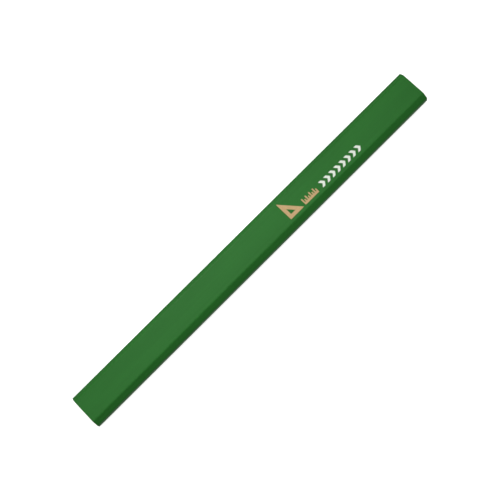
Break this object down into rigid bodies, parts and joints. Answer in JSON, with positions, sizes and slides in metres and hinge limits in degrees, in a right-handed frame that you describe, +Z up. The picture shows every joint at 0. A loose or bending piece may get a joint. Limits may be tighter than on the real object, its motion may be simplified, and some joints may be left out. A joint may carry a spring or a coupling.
{
  "type": "carpenter pencil",
  "caption": "Flat octagonal carpenter pencil, unsharpened: two glued wooden slats around a rectangular graphite lead, lacquered green, for marking out timber.",
  "frame": {"origin": "middle of the underside, where the pencil lies on a surface", "axes": "+X along the pencil, towards the end that the printed chevrons point to; +Y across the wide faces, to the left of +X; +Z up through the thickness, out of the printed face"},
  "size_m": [0.1778, 0.0148, 0.0071],
  "materials": {
    "casing_wood": "matte",
    "graphite_lead": "satin",
    "wood_glue": "satin",
    "primer": "matte",
    "green_lacquer": "satin",
    "tan_ink": "satin",
    "white_ink": "satin"
  },
  "bodies": {
    "root": {"casing_upper_slat": "casing_wood", "casing_lower_slat": "casing_wood", "lead_core": "graphite_lead", "lead_bedding_glue": "wood_glue", "glue_line_left": "wood_glue", "glue_line_right": "wood_glue", "primer_coat": "primer", "green_lacquer_coat": "green_lacquer", "set_square_print": "tan_ink", "rule_print": "tan_ink", "chevron_print": "white_ink"}
  },
  "joints": []
}
